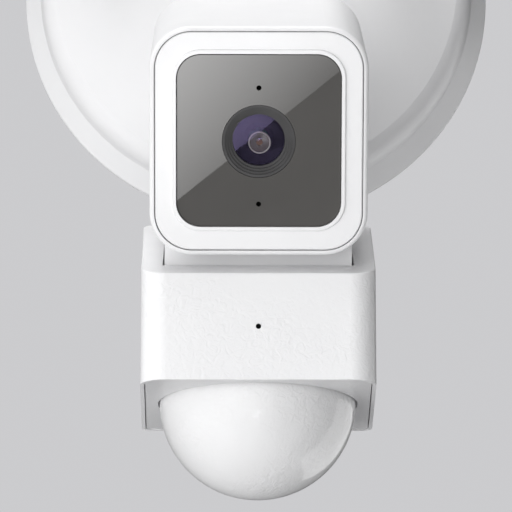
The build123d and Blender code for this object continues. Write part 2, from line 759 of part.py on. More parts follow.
def head_dish():
    """The cast dish before its fins, sleeve and screw holes."""
    shoulder = (HEAD_R, HEAD_SHOULDER_Y)
    rim = (HEAD_R, LEDGE_Y)
    outer = turned_y([(0, HEAD_REAR_Y), (HEAD_REAR_R, HEAD_REAR_Y), shoulder, rim, (0, LEDGE_Y)])
    outer = fillet(rear_edges(outer), HEAD_ROUND)
    inner_r = HEAD_R - HEAD_WALL - HEAD_LEDGE
    floor_y = HEAD_REAR_Y - HEAD_WALL
    open_y = LEDGE_Y - OVERCUT
    bend = (inner_r, HEAD_SHOULDER_Y - OVERCUT)
    room = turned_y([(0, floor_y), (HEAD_REAR_R - OVERCUT, floor_y), bend, (inner_r, open_y), (0, open_y)])
    return disc_centre * (outer - room)


def head_housing():
    """Cast dish with cooling fins, a clamp sleeve for the arm behind it and a ledge for the lens."""
    dish = head_dish()
    fin_y = HEAD_REAR_Y - OVERCUT
    disc = rod_y(FIN_REACH_R, fin_y, FIN_TOP_Y, 0, HEAD_LIFT)
    count = int(FIN_REACH_R // FIN_PITCH)
    for i in range(-count, count + 1):
        x = i * FIN_PITCH
        dish += block(x - FIN_T / 2, x + FIN_T / 2, fin_y, FIN_TOP_Y, -THROUGH, THROUGH) & disc
    dish += rod_x(SLEEVE_R, -SLEEVE_HALF, SLEEVE_HALF)
    dish += block(-SLEEVE_HALF, SLEEVE_HALF, 0, fin_y, -SLEEVE_R, SLEEVE_R)
    dish += rod_y(LOCK_BOSS_R, 0, SLEEVE_R + LOCK_BOSS_H)
    dish -= bore_x(ARM_R + RUNNING_FIT)
    dish -= rod_y(LOCK_SCREW_R + THREAD_FIT, ARM_BORE_R, THROUGH)
    for x, z in head_screw_spots():
        dish -= rod_y(HEAD_SCREW_R + THREAD_FIT, LEDGE_Y + HEAD_SCREW_L, LEDGE_Y - OVERCUT, x, z)
    return dish


def tilt_lock_screw():
    seat_y = SLEEVE_R + LOCK_BOSS_H
    one = screw(LOCK_HEAD_R, LOCK_HEAD_H, LOCK_SCREW_R, seat_y - ARM_R - LOCK_TIP_GAP)
    return Pos(0, seat_y, 0) * Rot(0, 0, 180) * one


def led_board():
    board = rod_y(LED_BOARD_R, LED_BOARD_Y, LED_BOARD_Y - LED_BOARD_T, 0, HEAD_LIFT)
    return board - bore_y(LED_WIRE_R, LED_WIRE_X, HEAD_LIFT)


def leds():
    top_y = LED_BOARD_Y - LED_BOARD_T
    half = LED_SIZE / 2
    one = disc_centre * block(-half, half, top_y, top_y - LED_T, -half, half)
    return group(Pos(x, 0, z) * one for ring_r, count in LED_RINGS for x, z in around(ring_r, count))


def diffuser():
    """Slightly domed lens with a step that the bezel holds down."""
    foot_y = LEDGE_Y + DIFFUSER_FOOT_T
    step_y = LEDGE_Y - DIFFUSER_STEP_T
    apex_y = step_y - DIFFUSER_CROWN
    outline = [
        Line((0, foot_y), (DIFFUSER_FOOT_R, foot_y)),
        Line((DIFFUSER_FOOT_R, foot_y), (DIFFUSER_FOOT_R, LEDGE_Y)),
        Line((DIFFUSER_FOOT_R, LEDGE_Y), (DIFFUSER_R, LEDGE_Y)),
        Line((DIFFUSER_R, LEDGE_Y), (DIFFUSER_R, step_y)),
        Line((DIFFUSER_R, step_y), (DIFFUSER_DISC_R, step_y)),
        cap_arc(apex_y, DIFFUSER_DISC_R, DIFFUSER_CROWN),
        Line((0, apex_y), (0, foot_y)),
    ]
    return disc_centre * revolve(make_face(outline), Axis.Y)


def head_seal():
    ring = rod_y(SEAL_R, LEDGE_Y + THREAD_FIT, LEDGE_Y + THREAD_FIT + SEAL_T)
    return disc_centre * (ring - bore_y(SEAL_R - SEAL_W))


def head_bezel():
    ring = rod_y(HEAD_R, LEDGE_Y, HEAD_FRONT_Y)
    ring = fillet(front_edges(ring), BEZEL_ROUND)
    ring -= rod_y(BEZEL_SEAT_R, LEDGE_Y + OVERCUT, LEDGE_Y - BEZEL_SEAT_T)
    ring = disc_centre * (ring - bore_y(BEZEL_BORE_R))
    for x, z in head_screw_spots():
        ring -= bore_y(HEAD_SCREW_R + THREAD_FIT, x, z)
        ring -= rod_y(HEAD_SCREW_HEAD_R + SCREW_PASS, HEAD_FRONT_Y + HEAD_SCREW_SINK, -THROUGH, x, z)
    return ring


def head_screws():
    one = screw(HEAD_SCREW_HEAD_R, HEAD_SCREW_HEAD_H, HEAD_SCREW_R, HEAD_SCREW_L)
    return group(Pos(x, HEAD_FRONT_Y + HEAD_SCREW_SINK, z) * one for x, z in head_screw_spots())


# ---------------------------------------------------------------- camera


def pan_yoke():
    """Turns on the pan pin, and carries the camera's tilt pin in its tongue."""
    half = YOKE_TONGUE_HALF_W
    low_z, high_z = TILT_WORLD_Z - YOKE_TONGUE_R, TILT_WORLD_Z + YOKE_TONGUE_R
    yoke = rod_z(YOKE_R, TILT_WORLD_Z - YOKE_HALF_H, TILT_WORLD_Z + YOKE_HALF_H, 0, PAN_Y)
    yoke += block(-half, half, TILT_WORLD_Y, PAN_Y, low_z, high_z)
    yoke += rod_x(YOKE_TONGUE_R, -half, half, TILT_WORLD_Y, TILT_WORLD_Z)
    yoke -= bore_z(PAN_PIN_R + RUNNING_FIT, 0, PAN_Y)
    return yoke - bore_x(TILT_PIN_R + RUNNING_FIT, TILT_WORLD_Y, TILT_WORLD_Z)


def tilt_pin():
    pin = rod_x(TILT_PIN_R, -TILT_PIN_HALF_L, TILT_PIN_HALF_L, TILT_Y, 0)
    return pin + rod_x(TILT_PIN_R + PIN_HEAD_R, TILT_HEAD_X, TILT_HEAD_X + PIN_HEAD_T, TILT_Y, 0)


def camera_mount():
    """Plate screwed to the camera's back, with two ears for the tilt pin."""
    plate = slab_y(RectangleRounded(*MOUNT_SIZE, MOUNT_R), CAM_D, CAM_D + MOUNT_T)
    for side in (-1, 1):
        near_x, far_x = (side * x for x in EAR_X)
        ear = block(near_x, far_x, CAM_D + MOUNT_T - OVERCUT, TILT_Y, -EAR_R, EAR_R)
        plate += ear + rod_x(EAR_R, near_x, far_x, TILT_Y, 0)
    plate -= bore_x(TILT_PIN_R, TILT_Y, 0)
    for x, h in corners(MOUNT_SCREW_X, MOUNT_SCREW_H):
        plate -= rod_y(CASE_SCREW_R + SCREW_PASS, 0, CAM_D + MOUNT_T + OVERCUT, x, h)
    return plate


def dock_screw_spots():
    return [(side * DOCK_SCREW_X, y) for y in DOCK_SCREW_Y for side in (-1, 1)]


def camera_screws():
    """Four screws for the mount behind the camera, four for the dock below it."""
    one = screw(CASE_HEAD_R, MOUNT_HEAD_H, CASE_SCREW_R, MOUNT_SCREW_L)
    forward = Rot(0, 0, 180) * one
    upward = Rot(90, 0, 0) * one
    shapes = [Pos(x, CAM_D + MOUNT_T, h) * forward for x, h in corners(MOUNT_SCREW_X, MOUNT_SCREW_H)]
    shapes += [Pos(x, y, DOCK_ROOF_H) * upward for x, y in dock_screw_spots()]
    return group(shapes)


def camera_outer():
    body = slab_y(face_sketch(0), 0, CAM_D)
    body = fillet(rear_edges(body), CAM_REAR_ROUND)
    return fillet(front_edges(body), BEVEL)


def camera_shell():
    shell = camera_outer()
    shell -= slab_y(face_sketch(SEAM_INSET), -OVERCUT, FRAME_DEPTH)
    shell -= slab_y(face_sketch(CAM_WALL), FRAME_DEPTH - OVERCUT, CAM_D - CAM_WALL)
    inside_y = CAM_D - OVERCUT
    for x, h in corners(*POST_AT):
        shell += rod_y(POST_R, MAIN_BOARD_REAR_Y, inside_y, x, h)
    for x, h in corners(MOUNT_SCREW_X, MOUNT_SCREW_H):
        shell += rod_y(MOUNT_POST_R, CAM_D - MOUNT_POST_L, inside_y, x, h)
        shell -= rod_y(CASE_SCREW_R + THREAD_FIT, CAM_D - MOUNT_THREAD_L, THROUGH, x, h)
    for x, y in dock_screw_spots():
        shell += rod_z(MOUNT_POST_R, CAM_BOTTOM_H + OVERCUT, CAM_BOTTOM_H + DOCK_POST_TOP, x, y)
        shell -= rod_z(CASE_SCREW_R + THREAD_FIT, -THROUGH, CAM_BOTTOM_H + DOCK_THREAD_TOP, x, y)
    x, h = BUTTON_AT
    shell -= rod_y(BUTTON_R + BUTTON_GAP, CAM_D - MOUNT_POST_L, THROUGH, x, h)
    for x, h in [(0, 0)] + around(SPEAKER_HOLES_AT, 6):
        shell -= rod_y(SPEAKER_HOLE_R, CAM_D - MOUNT_THREAD_L, THROUGH, x, SPEAKER_H + h)
    return shell


def front_frame():
    """Gloss frame with a raised rim round the glass and a skirt inside the shell."""
    frame = slab_y(face_sketch(SEAM_INSET + SEAM_GAP), FRAME_FRONT_Y, FRAME_DEPTH)
    frame = chamfer(front_edges(frame), FRAME_CHAMFER)
    raised = slab_y(glass_sketch(RIM_W), -RIM_PROUD, OVERCUT)
    frame += fillet(front_edges(raised), RIM_EDGE_ROUND)
    skirt_front, skirt_rear = SKIRT_Y
    frame += slab_y(face_sketch(CAM_WALL + SKIRT_GAP), skirt_front, skirt_rear)
    frame -= slab_y(face_sketch(CAM_WALL + SKIRT_GAP + SKIRT_WALL), FRAME_DEPTH, THROUGH)
    frame -= slab_y(glass_sketch(GLASS_GAP), -THROUGH, GLASS_SEAT_Y)
    return frame - slab_y(glass_sketch(-WINDOW_EDGE), -THROUGH, THROUGH)


def front_glass():
    glass = slab_y(glass_sketch(0), 0, GLASS_T)
    glass = chamfer(front_edges(glass), GLASS_CHAMFER) - bore_y(LENS_R + GLASS_GAP)
    for h in (STATUS_HOLE_H, MIC_HOLE_H):
        glass -= bore_y(EYE_HOLE_R, 0, h)
    return glass


def lens_trim_ring():
    """Stepped funnel from the glass down to the lens, with a flange behind the glass."""
    steps = []
    for i in range(LENS_STEPS):
        r = LENS_R - LENS_STEP * (i + 1)
        y = TRIM_FRONT_Y + LENS_STEP * i
        steps += [(r, y), (r, y + LENS_STEP)]
    throat_r, throat_y = steps.pop()
    back_y = throat_y + TRIM_BACK
    flange = [
        (throat_r, back_y),
        (TRIM_NECK_R, back_y),
        (TRIM_NECK_R, TRIM_FLANGE_Y),
        (TRIM_FLANGE_R, TRIM_FLANGE_Y),
        (TRIM_FLANGE_R, GLASS_SEAT_Y),
        (LENS_R, GLASS_SEAT_Y),
    ]
    return turned_y([(LENS_R, TRIM_FRONT_Y)] + steps + flange)


def lens_barrel():
    foot_y = BARREL_REAR_Y - BARREL_FOOT_T
    stop_front, stop_rear = BARREL_STOP_Y
    outline = [
        (BARREL_BORE_R, BARREL_FRONT_Y),
        (BARREL_R, BARREL_FRONT_Y),
        (BARREL_R, foot_y),
        (BARREL_FOOT_R, foot_y),
        (BARREL_FOOT_R, BARREL_REAR_Y),
        (BARREL_REAR_BORE_R, BARREL_REAR_Y),
        (BARREL_REAR_BORE_R, stop_rear),
        (BARREL_STOP_R, stop_rear),
        (BARREL_STOP_R, stop_front),
        (BARREL_BORE_R, stop_front),
    ]
    return turned_y(outline)


def front_lens():
    """Flat outside, rounded inside."""
    edge_y = ELEMENT_REAR_Y - ELEMENT_CROWN
    outline = [
        Line((0, ELEMENT_FRONT_Y), (ELEMENT_R, ELEMENT_FRONT_Y)),
        Line((ELEMENT_R, ELEMENT_FRONT_Y), (ELEMENT_R, edge_y)),
        cap_arc(ELEMENT_REAR_Y, ELEMENT_R, -ELEMENT_CROWN),
        Line((0, ELEMENT_REAR_Y), (0, ELEMENT_FRONT_Y)),
    ]
    return revolve(make_face(outline), Axis.Y)


def lens_iris():
    front_y, bevel_y, throat_y, rear_y = IRIS_Y
    outline = [
        (ELEMENT_R, front_y),
        (ELEMENT_R, rear_y),
        (IRIS_R, rear_y),
        (IRIS_R, throat_y),
        (IRIS_MID_R, bevel_y),
        (IRIS_FRONT_R, front_y),
    ]
    return turned_y(outline)


def image_sensor_board():
    sheet = RectangleRounded(SENSOR_BOARD_SIZE, SENSOR_BOARD_SIZE, SENSOR_BOARD_R)
    board = slab_y(sheet, BARREL_REAR_Y, BARREL_REAR_Y + SENSOR_BOARD_T)
    x, h = IMAGE_CHIP
    return board + block(-x, x, BARREL_REAR_Y - IMAGE_CHIP_T, BARREL_REAR_Y + WELD, -h, h)


def infrared_led_board():
    """Board behind the glass with six infrared LEDs, the status LED and the microphone."""
    front_y, rear_y = IR_BOARD_Y
    sheet = RectangleRounded(GLASS_W - IR_BOARD_EDGE, GLASS_H - IR_BOARD_EDGE, IR_BOARD_R)
    board = slab_y(sheet, front_y, rear_y) - bore_y(IR_BOARD_BORE_R)
    lamps = [(x, h, IR_LED_HALF, IR_LED_HALF) for x, h in corners(IR_LED_X, IR_LED_H)]
    lamps += [(side * IR_LED_X, 0, IR_LED_HALF, IR_LED_HALF) for side in (-1, 1)]
    lamps.append((0, STATUS_HOLE_H, STATUS_LED_HALF, STATUS_LED_HALF))
    lamps.append((0, MIC_HOLE_H, MIC_HALF_W, STATUS_LED_HALF))
    for x, h, half_w, half_h in lamps:
        board += block(x - half_w, x + half_w, IR_LED_FRONT_Y, front_y + WELD, h - half_h, h + half_h)
    return board


def main_board():
    """Board with spacers to the sensor board, a processor, a shielded radio, a switch and a connector."""
    board = slab_y(RectangleRounded(*MAIN_BOARD_SIZE, MAIN_BOARD_R), MAIN_BOARD_Y, MAIN_BOARD_REAR_Y)
    front_y = MAIN_BOARD_Y + WELD
    rear_y = MAIN_BOARD_REAR_Y - WELD
    for x, h in corners(SPACER_AT, SPACER_AT):
        board += rod_y(SPACER_R, BARREL_REAR_Y + SENSOR_BOARD_T, front_y, x, h)
    board += block(-CHIP_HALF, CHIP_HALF, MAIN_BOARD_Y - CHIP_T, front_y, -CHIP_HALF, CHIP_HALF)
    board += block(*SHIELD_X, rear_y, MAIN_BOARD_REAR_Y + SHIELD_T, *SHIELD_H)
    x, h = BUTTON_AT
    switch = block(-SWITCH_HALF, SWITCH_HALF, rear_y, MAIN_BOARD_REAR_Y + SWITCH_T, -SWITCH_HALF, SWITCH_HALF)
    board += Pos(x, 0, h) * switch
    return board + block(-PLUG_HALF_W, PLUG_HALF_W, rear_y, MAIN_BOARD_REAR_Y + PLUG_T, *PLUG_H)


def speaker():
    rear_y = CAM_D - CAM_WALL - WELD
    cone = rod_y(SPEAKER_R, rear_y - SPEAKER_T, rear_y, 0, SPEAKER_H)
    return cone - rod_y(SPEAKER_CONE_R, rear_y - SPEAKER_CONE_T, THROUGH, 0, SPEAKER_H)


def sync_button():
    x, h = BUTTON_AT
    sunk_y = CAM_D - BUTTON_SINK
    cap = rod_y(BUTTON_R, sunk_y, CAM_D + BUTTON_PROUD, x, h)
    cap = fillet(rear_edges(cap), BUTTON_ROUND)
    stem_y = MAIN_BOARD_REAR_Y + SWITCH_T + BUTTON_STEM_GAP
    return cap + rod_y(BUTTON_STEM_R, stem_y, sunk_y + WELD, x, h)


def sensor_dock():
    """Hollow tongue below the camera that fills the slot of the sensor housing as it swings open."""
    foot = radians(DOCK_FOOT_DEG)
    foot_y = HINGE_Y - DOCK_R * cos(foot)
    foot_h = HINGE_H - DOCK_R * sin(foot)
    rear_y = HINGE_Y - DOCK_REAR_INSET
    top_h = CAM_BOTTOM_H + DOCK_BITE
    outline = [
        (0, top_h),
        (rear_y, top_h),
        (rear_y, HINGE_H),
        (HINGE_Y, HINGE_H - DOCK_KNUCKLE_R + WELD),
        (foot_y, foot_h),
        (0, foot_h),
    ]
    half = DOCK_W / 2
    body = slab_x(outline, half) & rod_x(DOCK_R, -half, half, HINGE_Y, HINGE_H)
    body += rod_x(DOCK_KNUCKLE_R, -half, half, HINGE_Y, HINGE_H)
    room_rear_y = rear_y - DOCK_REAR_WALL
    room_sides = [(0, DOCK_ROOF_H), (room_rear_y, DOCK_ROOF_H), (room_rear_y, -THROUGH), (0, -THROUGH)]
    room = slab_x(room_sides, half - DOCK_WALL)
    body -= room & rod_x(DOCK_R - DOCK_WALL, -half, half, HINGE_Y, HINGE_H)
    body -= bore_x(HINGE_PIN_R + RUNNING_FIT, HINGE_Y, HINGE_H)
    body -= slab_y(face_sketch(0), -OVERCUT, CAM_D + OVERCUT)
    for x, y in dock_screw_spots():
        body -= rod_z(CASE_SCREW_R + SCREW_PASS, DOCK_ROOF_H - OVERCUT, 0, x, y)
    return body


# ---------------------------------------------------------------- motion sensor


def sensor_footprint(inset):
    """The housing seen from above: a little wider at the back, with larger corners at the front."""
    half_d = SENSOR_D / 2 - inset
    front_x = SENSOR_W / 2 - inset
    rear_x = SENSOR_REAR_W / 2 - inset
    sides = [(-front_x, -half_d), (front_x, -half_d), (rear_x, half_d), (-rear_x, half_d)]
    sheet = make_face(Polyline(*sides, close=True))
    sheet = fillet(sheet.vertices().filter_by(lambda corner: corner.Y < 0), SENSOR_FRONT_R - inset)
    rear = sheet.vertices().sort_by(Axis.Y)[-2:]
    return Pos(0, SENSOR_MID_Y) * fillet(rear, SENSOR_REAR_R - inset)


def sensor_solid(inset, bottom_z):
    """The housing's wedge: its footprint raised to the sloped top."""
    column = extrude(Pos(0, 0, bottom_z) * sensor_footprint(inset), THROUGH)
    top_h = SENSOR_TOP_H - inset
    return column - pod * block(-THROUGH, THROUGH, -THROUGH, THROUGH, top_h, top_h + 2 * THROUGH)


def sensor_shell():
    shell = sensor_solid(0, SENSOR_BOTTOM_Z)
    shell = fillet(shell.faces().sort_by(Axis.Z)[-1].edges(), SENSOR_TOP_ROUND)
    shell -= sensor_solid(SENSOR_WALL, SENSOR_BOTTOM_Z - OVERCUT)
    seat_bottom = Pos(0, 0, SENSOR_BOTTOM_Z - OVERCUT) * sensor_footprint(PLATE_RIM)
    shell -= extrude(seat_bottom, OVERCUT + PLATE_RAISE + PLATE_T)
    slot = (-SLOT_W / 2, SLOT_W / 2, SLOT_FRONT - SENSOR_LEAD, SLOT_REAR_Y)
    shell -= pod * block(*slot, SENSOR_TOP_H - 2 * SENSOR_WALL, SENSOR_TOP_H + OVERCUT)
    for side in (-1, 1):
        inner_x = side * (DOCK_W / 2 + HINGE_BOSS_GAP)
        outer_x = side * (SENSOR_W / 2 - SENSOR_WALL / 2)
        shell += rod_x(HINGE_BOSS_R, inner_x, outer_x, HINGE_WORLD_Y, HINGE_WORLD_Z)
    shell -= rod_x(HINGE_PIN_R, -HINGE_END_X, HINGE_END_X, HINGE_WORLD_Y, HINGE_WORLD_Z)
    return shell - rod_y(DAYLIGHT_HOLE_R, -THROUGH, SENSOR_FRONT_Y + 2 * SENSOR_WALL, 0, EYE_Z)


def sensor_base_plate():
    sheet = Pos(0, 0, PLATE_BOTTOM_Z) * sensor_footprint(PLATE_RIM + PLATE_GAP)
    plate = extrude(sheet, PLATE_T) - bore_z(DOME_R + DOME_GAP, 0, DOME_Y)
    for x, y in corners(*PIR_POST_AT):
        plate += rod_z(PIR_POST_R, PLATE_TOP_Z - WELD, PIR_BOARD_Z, x, SENSOR_MID_Y + y)
    return plate


def dome_lens():
    """Thin translucent dome with a flange that sits on the plate."""
    centre_z = SENSOR_BOTTOM_Z + DOME_CENTRE_RAISE
    inner_r = DOME_R - DOME_T
    ball = Pos(0, DOME_Y, centre_z) * (Sphere(DOME_R) - Sphere(inner_r))
    ball -= block(-THROUGH, THROUGH, -THROUGH, THROUGH, centre_z, 0)
    rim = rod_z(DOME_R, centre_z, PLATE_TOP_Z, 0, DOME_Y)
    rim += rod_z(DOME_R + DOME_FLANGE_W, PLATE_TOP_Z, PLATE_TOP_Z + DOME_FLANGE_T, 0, DOME_Y)
    return ball + (rim - bore_z(inner_r, 0, DOME_Y))


def sensor_hinge_pin():
    end_x = HINGE_END_X - HINGE_END_GAP
    return rod_x(HINGE_PIN_R, -end_x, end_x, HINGE_WORLD_Y, HINGE_WORLD_Z)


def pir_board():
    sheet = RectangleRounded(*PIR_BOARD_SIZE, PIR_BOARD_R)
    board = extrude(Pos(0, SENSOR_MID_Y, PIR_BOARD_Z) * sheet, BOARD_T)
    chip_y = [SENSOR_FRONT_Y + y for y in PIR_CHIP_Y]
    top_z = PIR_BOARD_Z + BOARD_T
    return board + block(-PIR_CHIP_HALF_W, PIR_CHIP_HALF_W, *chip_y, top_z - WELD, top_z + PIR_CHIP_T)


def pyro_sensor():
    """Two detector cans that look down into the dome."""
    x, y = CAN_WINDOW
    can = rod_z(CAN_R, -CAN_H, 0) + rod_z(CAN_RIM_R, -CAN_RIM_T, 0)
    can -= block(-x, x, -y, y, -CAN_H - OVERCUT, CAN_WINDOW_SINK - CAN_H)
    return group(Pos(side * CAN_X, DOME_Y, PIR_BOARD_Z) * can for side in (-1, 1))


def daylight_sensor():
    inner_y = SENSOR_FRONT_Y + SENSOR_WALL + WELD
    stem = rod_y(DAYLIGHT_STEM_R, SENSOR_FRONT_Y + DAYLIGHT_STEM_SINK, inner_y + WELD, 0, EYE_Z)
    return stem + rod_y(DAYLIGHT_BODY_R, inner_y, inner_y + DAYLIGHT_BODY_L, 0, EYE_Z)


# ---------------------------------------------------------------- all nodes

world_nodes = {
    "wall_gasket": wall_gasket,
    "mounting_bracket": mounting_bracket,
    "ground_screw": ground_screw,
    "base_housing": base_housing,
    "base_rear_cover": base_rear_cover,
    "base_case_screws": base_case_screws,
    "base_mounting_screws": base_mounting_screws,
    "wire_grommet": wire_grommet,
    "power_board": power_board,
    "power_transformer": power_transformer,
    "power_capacitors": power_capacitors,
    "siren": siren,
    "pivot_bracket": pivot_bracket,
    "pan_pin": pan_pin,
    "pan_yoke": pan_yoke,
    "sensor_shell": sensor_shell,
    "sensor_base_plate": sensor_base_plate,
    "dome_lens": dome_lens,
    "sensor_hinge_pin": sensor_hinge_pin,
    "pir_board": pir_board,
    "pyro_sensor": pyro_sensor,
    "daylight_sensor": daylight_sensor,
}
pod_nodes = {
    "tilt_pin": tilt_pin,
    "camera_mount": camera_mount,
    "camera_screws": camera_screws,
    "camera_shell": camera_shell,
    "front_frame": front_frame,
    "front_glass": front_glass,
    "lens_trim_ring": lens_trim_ring,
    "lens_barrel": lens_barrel,
    "front_lens": front_lens,
    "lens_iris": lens_iris,
    "image_sensor_board": image_sensor_board,
    "infrared_led_board": infrared_led_board,
    "main_board": main_board,
    "speaker": speaker,
    "sync_button": sync_button,
    "sensor_dock": sensor_dock,
}
arm_nodes = {"arm": arm, "arm_locknut": arm_locknut, "arm_end_cap": arm_end_cap}
head_nodes = {
    "head_housing": head_housing,
    "tilt_lock_screw": tilt_lock_screw,
    "led_board": led_board,
    "leds": leds,
    "diffuser": diffuser,
    "head_seal": head_seal,
    "head_bezel": head_bezel,
    "head_screws": head_screws,
}

nodes = {name: make() for name, make in world_nodes.items()}
nodes.update({name: pod * make() for name, make in pod_nodes.items()})
for name, make in (arm_nodes | head_nodes).items():
    shape = head * make() if name in head_nodes else make()
    nodes["right_" + name] = shape
    nodes["left_" + name] = mirror(shape, about=Plane.YZ)

os.makedirs("parts", exist_ok=True)
for name, shape in nodes.items():
    export_step(shape, f"parts/{name}.step")
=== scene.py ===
import json
from math import cos, pi, radians, sin

import bmesh
import bpy
from mathutils import Matrix, Vector


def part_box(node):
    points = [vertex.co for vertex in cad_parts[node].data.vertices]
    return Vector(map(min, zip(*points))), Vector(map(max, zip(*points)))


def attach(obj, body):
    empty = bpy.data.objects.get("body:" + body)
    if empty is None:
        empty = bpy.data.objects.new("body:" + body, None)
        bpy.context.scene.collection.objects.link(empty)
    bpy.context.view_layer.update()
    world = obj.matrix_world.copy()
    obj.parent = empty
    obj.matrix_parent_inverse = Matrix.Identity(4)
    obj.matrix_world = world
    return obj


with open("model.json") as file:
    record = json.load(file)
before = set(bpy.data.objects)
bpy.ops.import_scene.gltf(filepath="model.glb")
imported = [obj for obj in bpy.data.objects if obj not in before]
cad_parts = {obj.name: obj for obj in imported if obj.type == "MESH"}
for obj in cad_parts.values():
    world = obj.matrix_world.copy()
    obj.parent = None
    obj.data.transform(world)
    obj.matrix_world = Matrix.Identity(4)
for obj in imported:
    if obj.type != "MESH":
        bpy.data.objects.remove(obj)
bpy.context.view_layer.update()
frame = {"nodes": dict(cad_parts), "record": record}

scene = bpy.context.scene
for leftover in ("Cube", "Light", "Camera"):       # what a new Blender file starts with
    if leftover in bpy.data.objects:
        bpy.data.objects.remove(bpy.data.objects[leftover], do_unlink=True)


ACROSS = Vector((1, 0, 0))     # the object's own left to right


def centre_of(node):
    low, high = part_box(node)
    return (low + high) / 2


def joint_axis(name):
    joints = frame["record"]["behaviour"]["joints"]
    return Vector(next(joint["axis"] for joint in joints if joint["name"] == name))


# ---------------------------------------------------------------- camera

VIEW_BELOW = radians(15)      # the viewer looks up at the object by this much
VIEW_LEFT = 0.006             # and stands this far to the left of its middle plane
VIEW_YAW = radians(0.344)     # looking back to the right
VIEW_DISTANCE = 0.9315
LENS_MM = 281.25
FACE_ABOVE_MIDDLE = 0.0270    # the camera's glass sits above the middle of the picture
NEAREST, FARTHEST = 0.05, 50  # what the view can see
LOOK = Vector((0, cos(VIEW_BELOW), sin(VIEW_BELOW)))
LOOK_UP = Vector((0, -sin(VIEW_BELOW), cos(VIEW_BELOW)))


def make_camera():
    data = bpy.data.cameras.new("view")
    data.lens = LENS_MM
    data.clip_start = NEAREST
    data.clip_end = FARTHEST
    camera = bpy.data.objects.new("view", data)
    scene.collection.objects.link(camera)
    target = centre_of("front_glass") - LOOK_UP * FACE_ABOVE_MIDDLE
    camera.location = target - LOOK * VIEW_DISTANCE - ACROSS * VIEW_LEFT
    camera.rotation_euler = (pi / 2 + VIEW_BELOW, 0, -VIEW_YAW)
    scene.camera = camera


# ---------------------------------------------------------------- materials

SHADOW_TINT = (0.995, 0.995, 1.0)         # white plastic's darker tone is a touch cooler
NOISE_LOW, NOISE_HIGH = 0.25, 0.75        # where nearly all of a noise's values lie
TONE_LOW, TONE_HIGH = 0.3, 0.7            # where a colour reaches its darkest and lightest
CALM_BELOW, ROUGH_ABOVE = 0.4, 0.62       # where a rippled patch starts and is at its fullest
CALM_RIPPLE = 0.15                        # how much ripple is left between the patches


class Surface:
    """A Principled material, with helpers for the procedural detail every surface gets."""

    def __init__(self, name, colour, roughness, **sockets):
        self.material = bpy.data.materials.new(name)
        self.material.use_nodes = True
        self.nodes = self.material.node_tree.nodes
        self.links = self.material.node_tree.links
        self.shader = self.nodes["Principled BSDF"]
        self.colour = colour
        self.roughness = roughness
        self.shader.inputs["Base Color"].default_value = (*colour, 1)
        self.shader.inputs["Roughness"].default_value = roughness
        for key, value in sockets.items():
            self.shader.inputs[key.replace("_", " ")].default_value = value
        self.place = self.nodes.new("ShaderNodeTexCoord")

    def noise(self, size_mm, detail=2.0, distortion=0.0):
        node = self.nodes.new("ShaderNodeTexNoise")
        node.inputs["Scale"].default_value = 1000 / size_mm
        node.inputs["Detail"].default_value = detail
        node.inputs["Distortion"].default_value = distortion
        self.links.new(self.place.outputs["Object"], node.inputs["Vector"])
        return node.outputs["Fac"]

    def vary_colour(self, size_mm, amount, detail=3.0, tint=(1, 1, 1)):
        """Colour drifts between a darker and a lighter tone of itself."""
        ramp = self.nodes.new("ShaderNodeValToRGB")
        low, high = ramp.color_ramp.elements
        low.position, high.position = TONE_LOW, TONE_HIGH
        low.color = (*[c * (1 - amount) * t for c, t in zip(self.colour, tint)], 1)
        high.color = (*[min(1, c * (1 + amount)) for c in self.colour], 1)
        self.links.new(self.noise(size_mm, detail), ramp.inputs["Fac"])
        self.links.new(ramp.outputs["Color"], self.shader.inputs["Base Color"])
        return self

    def vary_roughness(self, size_mm, amount, detail=4.0):
        span = self.nodes.new("ShaderNodeMapRange")
        span.inputs["From Min"].default_value = NOISE_LOW
        span.inputs["From Max"].default_value = NOISE_HIGH
        span.inputs["To Min"].default_value = max(0, self.roughness - amount)
        span.inputs["To Max"].default_value = min(1, self.roughness + amount)
        self.links.new(self.noise(size_mm, detail), span.inputs["Value"])
        self.links.new(span.outputs["Result"], self.shader.inputs["Roughness"])
        return self

    def bump(self, height, depth_mm):
        """Adds a height to the surface; calls stack, the newest on top of the ones before."""
        node = self.nodes.new("ShaderNodeBump")
        node.inputs["Strength"].default_value = 1.0
        node.inputs["Distance"].default_value = depth_mm / 1000
        self.links.new(height, node.inputs["Height"])
        normal = self.shader.inputs["Normal"]
        if normal.is_linked:
            self.links.new(normal.links[0].from_socket, node.inputs["Normal"])
        self.links.new(node.outputs["Normal"], normal)
        return self

    def grain(self, size_mm, depth_mm, detail=2.0):
        return self.bump(self.noise(size_mm, detail), depth_mm)

    def ripple(self, size_mm, depth_mm, patch_mm):
        """Orange peel that comes and goes in patches."""
        creases = self.noise(size_mm, distortion=1.2)
        patch = self.nodes.new("ShaderNodeMapRange")
        patch.inputs["From Min"].default_value = CALM_BELOW
        patch.inputs["From Max"].default_value = ROUGH_ABOVE
        patch.inputs["To Min"].default_value = CALM_RIPPLE
        self.links.new(self.noise(patch_mm, detail=1.0), patch.inputs["Value"])
        height = self.nodes.new("ShaderNodeMath")
        height.operation = "MULTIPLY"
        self.links.new(creases, height.inputs[0])
        self.links.new(patch.outputs["Result"], height.inputs[1])
        return self.bump(height.outputs["Value"], depth_mm)

    def clear_to_lamps(self):
        """Light from the lamps passes straight through, as it does through thin clear glass."""
        way = self.nodes.new("ShaderNodeLightPath")
        clear = self.nodes.new("ShaderNodeBsdfTransparent")
        mix = self.nodes.new("ShaderNodeMixShader")
        out = self.nodes["Material Output"]
        self.links.new(way.outputs["Is Shadow Ray"], mix.inputs[0])
        self.links.new(self.shader.outputs["BSDF"], mix.inputs[1])
        self.links.new(clear.outputs["BSDF"], mix.inputs[2])
        self.links.new(mix.outputs["Shader"], out.inputs["Surface"])
        return self


